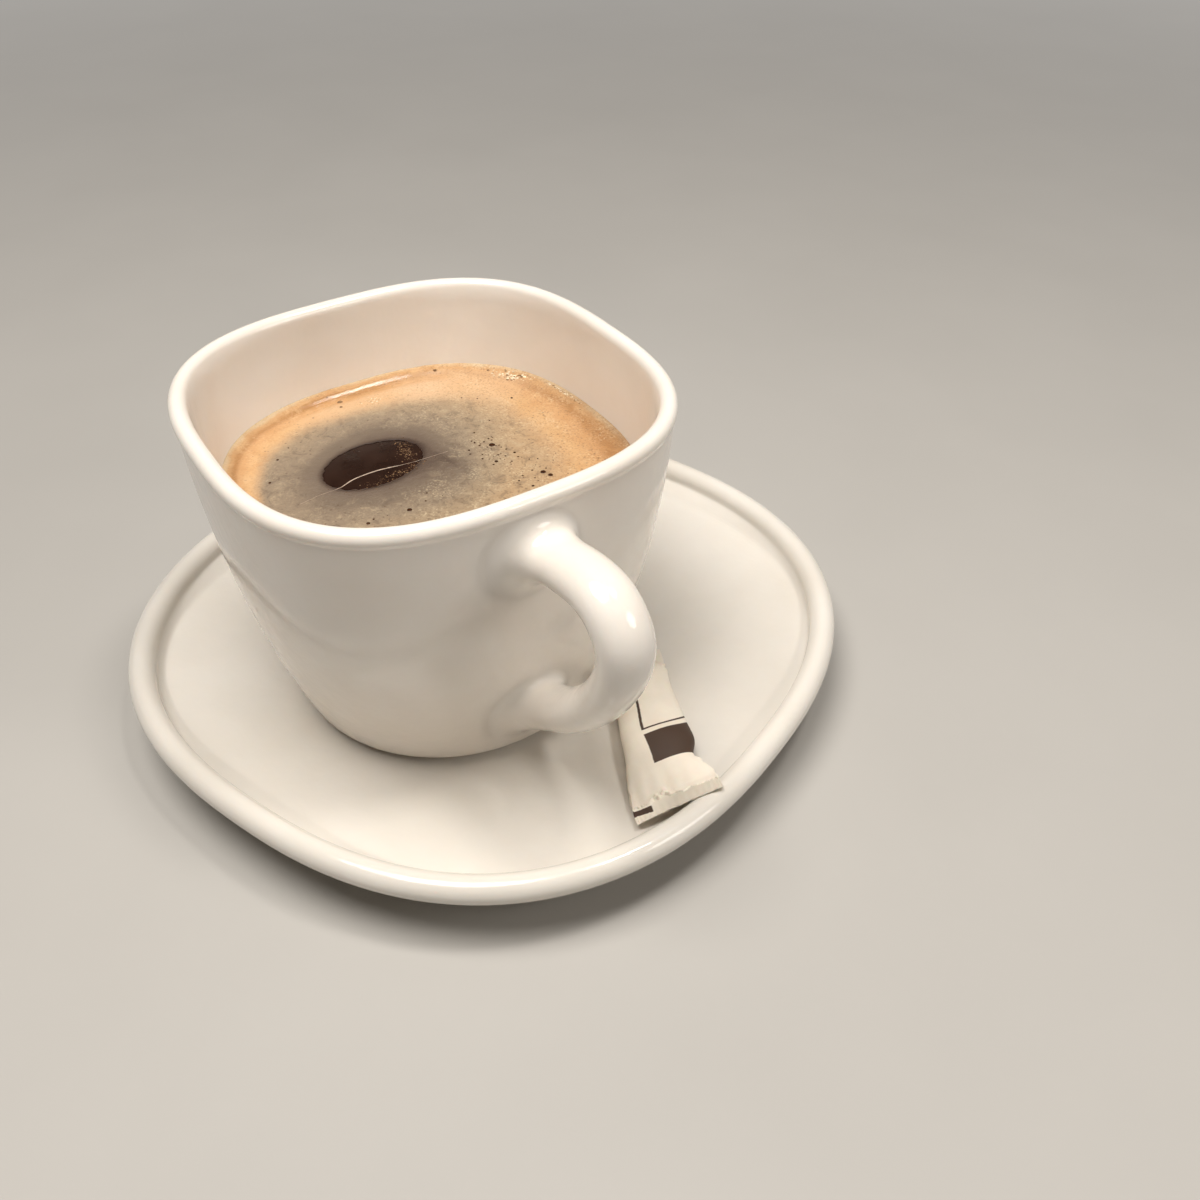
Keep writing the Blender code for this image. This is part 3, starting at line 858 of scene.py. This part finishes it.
def domes(spots, sides=10, rise=0.35, sunk=0.02 * MM):
    """Low domes, and the tone of each of their points. A dome of radius r has rings of radius
    r sin(a) at the height r rise cos(a), for three angles a, and a point on top. It stands
    `sunk` in the foam, or on the coffee where it is inside the opening."""
    x, y = (spots[:, :2] * MM - CUP_PLACE[:2]).T
    to_wall, to_opening = crema_distances(x, y)
    spots, x, y, to_opening = (v[to_wall > 0.5] for v in (spots, x, y, to_opening))
    base = np.where(to_opening < 0.3, COFFEE_TOP - 0.01 * MM, crema_height(x, y) - sunk)
    flat, steep = (column(f(np.radians([90, 58, 26]))) for f in (np.sin, np.cos))
    turn = full_turn(sides)
    rim = np.stack([flat * np.cos(turn), flat * np.sin(turn), rise * steep + 0 * turn], -1)
    centre, size = np.stack([x, y, base], -1), spots[:, 2] * MM
    grid = centre[:, None, None] + size[:, None, None, None] * rim[None]
    tops, bottoms = centre + np.outer(size, [0, 0, rise]), centre - [0, 0, sunk]
    shells = [shell(g[::-1], top, bottom) for g, top, bottom in zip(grid, tops, bottoms)]
    return shells, np.repeat(spots[:, 3], rim[..., 0].size + 2)


bubble_finish, shader, place = new_finish(
    "bubble_film", {"Roughness": 0.1, "IOR": 1.4, "Specular IOR Level": 0.15},
)
tone_and_glint = stored(shader, "tone_and_glint")
film = layered(
    srgb(48, 22, 8), (tone_and_glint, (196, 160, 120)),
    # Tones up to 2 turn pale: a painted glint, the lamp's highlight on wet froth.
    (ramp(tone_and_glint, 1.0, 2.0), (246, 236, 208)),
    (times(cloud(place, 700.0, 0.3, 0.7), 0.3), (112, 82, 58)),
)
fill(shader, {"Base Color": film, "Normal": relief(place, 1200.0, 0.00002)})
spots = np.vstack([
    np.column_stack([BIG_BUBBLES * [1, 1, 1.2], 0.35 * (BIG_BUBBLES[:, 0] < -25)]),
    scattered(21, 60, (1.2, 2.2), (8.0, 4.6), 10, (0.08, 0.25), [0, 0.1]),
    scattered(22, 46, (13.5, 4.5), (6.5, 7.0), 0, (0.08, 0.23), [0, 0.1]),
    scattered(23, 170, (4.0, -14.0), (26.0, 30.0), 0, (0.05, 0.13), [0, 0.2]),
    scattered(24, 190, (-7.4, -11.2), (5.6, 1.7), -8, (0.07, 0.17), [0.1, 0.2, 0.45]),
    scattered(25, 170, (-1.7, -16.0), (1.6, 9.0), 8, (0.07, 0.17), [0.1, 0.2, 0.45]),
    # The last three groups are partly pale, with painted glints of the lamp on the froth by the
    # wall.
    scattered(26, 110, (-21.3, 19.8), (4.2, 1.5), 38, (0.12, 0.34), [0.4, 1.5, 2.0]),
    scattered(27, 120, (-10.6, 25.2), (8.5, 0.5), 6, (0.1, 0.26), [0.6, 1.5, 2.0]),
    scattered(28, 44, (-28.0, -9.0), (1.6, 2.6), 0, (0.1, 0.25), [1.2, 1.8]),
])
shells, tones_and_glints = domes(spots)
bubble_piece = solid("crema_bubbles", shells, bubble_finish, CUP_PLACE)
note(bubble_piece, "tone_and_glint", tones_and_glints)
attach(bubble_piece, "root")


# %% Film line
def film_line():
    """A fine thread: the path's points + size cos(a) across + 0.7 size sin(a) up, thinner
    towards both of its ends. It lies on the coffee in the opening, and elsewhere on the foam."""
    key = np.array([
        (-1.8, -35.1), (-2.3, -31.8), (-2.8, -28.8), (-3.5, -26.2), (-4.4, -23.9), (-4.75, -21.4),
        (-4.7, -18.1), (-4.1, -14.7), (-3.6, -11.3), (-3.1, -8.6), (-2.77, -7.2), (-2.6, -4.9),
    ]) * MM - CUP_PLACE[:2]
    places = np.linspace(0, 1, 200)
    x, y = spring_path(np.column_stack([key, 0 * key[:, 0]]), places)[:, :2].T
    on_foam = ease(crema_distances(x, y)[1], -0.9, 0.2)
    climb = crema_height(x, y) - COFFEE_TOP + 0.01 * MM
    path = np.stack([x, y, COFFEE_TOP + 0.02 * MM + on_foam * climb], -1)
    way = np.gradient(path, axis=0)
    across = unit(np.stack([-way[:, 1], way[:, 0], 0 * places], -1))
    plump = ease(places, 0.22, 0.34) * (1 - ease(places, 0.58, 0.75))
    size = 0.06 * MM * (0.5 + 1.3 * plump) * (1 + 0.2 * waves(places, 0 * places, 0.06, 9))
    turn = full_turn(12)[None, :, None]
    side = size[:, None, None] * np.cos(turn) * across[:, None]
    up = 0.7 * size[:, None, None] * np.sin(turn) * np.array([0, 0, 1.0])
    return path[:, None] + side + up


film_finish, shader, place = new_finish("film_foam", {"Roughness": 0.25, "IOR": 1.36})
film = layered(srgb(214, 196, 178), (cloud(place, 900.0, 0.3, 0.7), (160, 138, 120)))
fill(shader, {"Base Color": film, "Normal": relief(place, 1600.0, 0.00004)})
film_piece = solid("film_line", [capped(film_line()[::-1])], film_finish, CUP_PLACE)
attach(film_piece, "root")

# %% [markdown]
# ## The sugar sachet
#
# The sachet is a tube of coated paper, pressed flat and crimped at both ends, and plump with
# sugar between them. A cloth simulation could inflate it, but its state is well known, so its
# sections are written down: where the middle is, how wide and how thick it is, which way it
# faces and how far it rolls. Between them run splines. Folds then fan out from each crimp,
# and the crimp has fine ribs and a toothed edge. Where the sachet was pulled off its strip the
# upper sheet is torn: it ends in a jagged step with a few curls, and the lower sheet goes on.

# %% Sachet
# Each row is x, y, z, half width and half thickness in millimetres, heading and roll in degrees.
SACHET_STATIONS = [
    (66.0, 0.9, 13.8, 8.3, 0.16, 72, 22), (61.5, 3.1, 11.75, 8.3, 0.2, 74, 12),
    (58.0, 4.6, 11.0, 7.9, 1.5, 70, 8), (53.5, 6.6, 11.3, 7.2, 2.95, 66, 5),
    (48.0, 8.9, 10.6, 6.7, 3.4, 64, 3), (41.6, 12.0, 9.3, 6.3, 3.5, 64, 0),
    (35.5, 14.7, 8.5, 6.1, 3.3, 66, 0), (30.0, 17.3, 7.6, 6.4, 2.4, 70, 0),
    (26.6, 18.7, 6.0, 7.0, 0.7, 76, 0), (23.4, 20.0, 5.35, 7.3, 0.2, 80, 0),
]
SACHET_LENGTH = 47.9


def torn_line(girth):
    """Distance from the end at which the upper sheet is torn, in millimetres."""
    jags = waves(9 * girth, 0 * girth, 0.5, 41) + 0.6 * waves(9 * girth, 0 * girth, 0.16, 42)
    return 4.6 - 1.5 * girth + 0.28 * jags + 0.7 * bell(girth, 0.4, 0.07)


def sachet_grid(rows=290, sides=220):
    """Centre + half width cos(a)^1.05 across + half thickness sin(a)^0.85 up, in a frame that
    is turned by the heading and rolled. `girth` runs 0 to 1 over the top and 1 to 2 underneath.
    Rows lie closer together near the torn end. Also gives the distance from that end and the
    girth of every point."""
    spread = np.linspace(0, 1, rows)
    places = 0.45 * spread + 0.55 * spread ** 2
    x, y, z, wide, thick, heading, roll = spring_path(SACHET_STATIONS, places).T
    thick = np.maximum(thick, 0.14)
    girth = np.linspace(0, 2, sides, endpoint=False)
    a = np.pi * (1 - girth)
    c = np.sign(np.cos(a)) * abs(np.cos(a)) ** 1.05
    s = np.sign(np.sin(a)) * abs(np.sin(a)) ** 0.85
    along = places * SACHET_LENGTH
    u, g = np.meshgrid(along, girth, indexing="ij")
    plump = ease(thick, 0.3, 3.0)[:, None]
    end = np.minimum(u, SACHET_LENGTH - u)
    fold = bell(end, 6.5, 3.4)
    pleats = np.cos(2 * np.pi * (3.1 * g + 0.16 * np.sin(5 * g)))
    pleats += 0.5 * np.cos(2 * np.pi * (7.3 * g + 0.02 * u))
    swell = (0.2 * fold * pleats + 0.16 * plump * waves(u, 9 * g, 7.0, 31)) * abs(s)
    ribs = 0.035 * (1 - ease(end, 2.2, 3.2)) * np.cos(2 * np.pi * 18 * g)
    pinch = 1.8 * bell(u, 12.6, np.where(u < 12.6, 2.5, 3.0)) * ease(c, 0.1, 1.0)
    pinch -= 0.6 * bell(u, 11.3, 0.6) * ease(c, 0.85, 1.0)
    ruffle = 0.25 * fold * np.sign(c) * waves(u, 4 * g, 3.0, 33) * abs(c) ** 3
    across = wide[:, None] * c + ruffle - pinch
    edge = torn_line(g)
    upper = (g < 1) * ease(u, edge - 0.12, edge + 0.12) * (1 - ease(u, 6, 11))
    curl = bell(g, 0.4, 0.09) * bell(u, edge + 0.4, 0.7) * (1 + waves(3 * u, 27 * g, 1.2, 43))
    sheet = upper * (0.3 * np.minimum(abs(s) * 4, 1) + 0.45 * curl)
    from_side = np.minimum(g, 2 - g)
    sag = 0.9 * ease(from_side, 0.35, 0.9) * (1 - ease(u, 0, 3.4))
    up = (thick[:, None] + swell) * s + ribs * np.sign(s) * abs(s) ** 0.3 + sheet - sag
    teeth = 0.32 * (abs(from_side * 13 % 1 - 0.5) * 2 - 0.5)
    shift = teeth * (1 - ease(end, 0, 1.2)) * np.where(u < SACHET_LENGTH / 2, 1, -1)
    h, r = np.radians(heading)[:, None], np.radians(roll)[:, None]
    middle = np.stack([x, y, z], -1)
    ahead = unit(np.gradient(middle, axis=0))
    level, rise = across * np.cos(r) - up * np.sin(r), across * np.sin(r) + up * np.cos(r)
    grid = middle[:, None] + np.stack([level * np.cos(h), level * np.sin(h), rise], -1)
    return (grid + shift[..., None] * ahead[:, None]) * MM, u, g


# %% [markdown]
# The paper is cream and a little shiny, with faint fibres. Its print is kept to plain fields of
# dark brown: a block that wraps over one edge, a thin frame beside it, and a band along part
# of the crimp. The finish reads two stored numbers, the distance from the end and the place
# round the tube, so the print follows every fold of the paper. Each field of ink is one strip
# along the paper times one strip round it. A third number darkens the torn lower sheet with
# painted shade, as where it bends down.

# %% Sachet finish
paper_finish, shader, place = new_finish("sachet_paper", {
    "Roughness": 0.6, "IOR": 1.4, "Specular IOR Level": 0.35,
    "Subsurface Weight": 0.1, "Subsurface Scale": 0.0006,
})
along, girth, torn_sheet_shade = (stored(shader, name) for name in ("along", "girth", "torn_sheet_shade"))
fibre = noise(place, 900.0, 4.0)
bleed = times(sums("SUBTRACT", fibre, 0.5), 0.12)
inwards = sums("SUBTRACT", girth, 0.36, use_clamp=True)
u = linear(inwards, -2.7, sums("ADD", along, bleed))
fan = linear(times(inwards, inwards), 1.3, 1.0)
u = sums("DIVIDE", sums("SUBTRACT", u, 11.3), fan)
g = linear(bleed, 0.1, girth)
tilt = linear(u, 0.007, g)
frayed = sums("SUBTRACT", noise(place, 420.0, 2.0), 0.5)
end_u = linear(frayed, 2.0, linear(girth, 3.6, along))
ink = 0.0
for strip_along, strip_round in (
    ((u, 0.0, 6.3, 0.08), (tilt, 0.404, 1.25, 0.006)),
    ((u, 7.5, 7.95, 0.06), (g, 0.352, 1.25, 0.006)),
    ((u, 7.5, 24.0, 0.08), (g, 0.352, 0.38, 0.005)),
    ((end_u, 2.6, 4.6, 0.08), (g, -0.1, 0.3, 0.006)),
):
    ink = sums("MAXIMUM", ink, times(between(*strip_along), between(*strip_round)))
paper = layered(
    srgb(245, 236, 221),
    (cloud(place, 130.0, 0.3, 0.7), (235, 224, 207)),
    (times(fibre, 0.25), (252, 245, 234)),
    # The torn lower sheet is darker: painted shade where it bends down.
    (torn_sheet_shade, (214, 205, 190)), (ink, (78, 62, 52)),
)
fill(shader, {"Base Color": paper, "Normal": relief(place, 700.0, 0.00003)})

rings, along_mm, girth_share = (grid[::-1] for grid in sachet_grid())
sachet_piece = solid("paper_sachet", [capped(rings)], paper_finish)
# Mask of the torn lower sheet, where painted shade darkens the paper.
lower_sheet_shade = ease(torn_line(girth_share) - along_mm, -0.05, 0.1)
lower_sheet_shade *= ease(girth_share, 0.3, 0.5) * (girth_share < 1.02)
for name, values, ends in (
    ("along", along_mm, [SACHET_LENGTH, 0]),
    ("girth", girth_share, [0.5, 0.5]),
    ("torn_sheet_shade", lower_sheet_shade, [0, 0]),
):
    note(sachet_piece, name, np.concatenate([values.ravel(), ends]))
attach(sachet_piece, "root")
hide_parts("sugar_sachet")

# %% [markdown]
# ## Floor, light and camera
#
# The set is a plain pale table and soft light. A round lamp hangs almost overhead: it lights
# the drink and the lip and leaves the upright walls in gentle shade. A small one on the right
# gives the narrow glints on the wet edge of the foam and on the saucer, and a third, low one
# draws the highlight down the handle. Far from the lamps a table would fall into darkness,
# so its finish glows a little with distance, until it has the backdrop's own pale grey.

# %% Stage
BACKDROP = (1.0, 0.97, 0.93, 1.0)
table_finish, shader, place = new_finish(
    "pale_table", {"Roughness": 0.6, "Emission Color": BACKDROP},
)
distance = add("ShaderNodeVectorMath", {0: place}, operation="LENGTH").outputs["Value"]
glow = times(ramp(distance, 0.1, 1.1), 0.36)
grey = layered(srgb(186, 183, 178), (cloud(place, 14.0, 0.2, 0.8), (180, 177, 172)))
fill(shader, {"Base Color": grey, "Emission Strength": glow})
REACH = 30.0
corners = REACH * np.array([(-1, -1, 0), (1, -1, 0), (1, 1, 0), (-1, 1, 0)])
one_quad = corners, np.array([[0, 1, 2, 3]]), np.zeros((0, 3), int)
floor = solid("table", [one_quad], table_finish)


def lamp(name, place_mm, aim_mm, size_mm, watts):
    """A round, slightly warm area lamp that looks at a point."""
    light = bpy.data.lights.new(name, "AREA")
    light.shape = "DISK"
    light.size = size_mm * MM
    light.energy = watts
    light.color = (1.0, 0.955, 0.9)
    made = in_scene(name, light)
    start, aim = np.array(place_mm) * MM, np.array(aim_mm) * MM
    made.location = start
    made.rotation_mode = "QUATERNION"
    made.rotation_quaternion = Vector(aim - start).to_track_quat("-Z", "Y")
    print(f"{name}: {watts} W from {size_mm} mm, {np.linalg.norm(aim - start):.2f} m away")


lamp("overhead", (0, -140, 640), (0, -10, 30), 380, 4.1)
lamp("right_spot", (125, 170, 660), (0, -10, 30), 120, 1.4)
lamp("right_window", (420, 250, 330), (20, 0, 50), 200, 0.6)
world = bpy.data.worlds.new("studio")
world.use_nodes = True
seen = add("ShaderNodeLightPath", {}, world.node_tree).outputs["Is Camera Ray"]
FILL, SEEN_DIRECTLY = 0.05, 0.33
strength = linear(seen, SEEN_DIRECTLY, FILL)
fill(world.node_tree.nodes["Background"], {"Color": BACKDROP, "Strength": strength})
bpy.context.scene.world = world
bpy.context.scene.view_settings.view_transform = "Standard"

# %% Camera
view = bpy.data.cameras.new("camera")
view.sensor_width = 36.0
view.lens = 32.774
view.clip_start = 0.01
camera = in_scene("camera", view)
# The camera's own axes, right, up and back, and its place in metres, as columns of its matrix.
camera.matrix_world = [
    (0.55749, 0.83018, 0.00283, 0), (-0.53938, 0.35960, 0.76142, 0),
    (0.63110, -0.42601, 0.64826, 0), (0.16006, -0.07968, 0.16566, 1),
]
bpy.context.scene.camera = camera
print("angle of view:", round(np.degrees(view.angle), 2), "degrees")
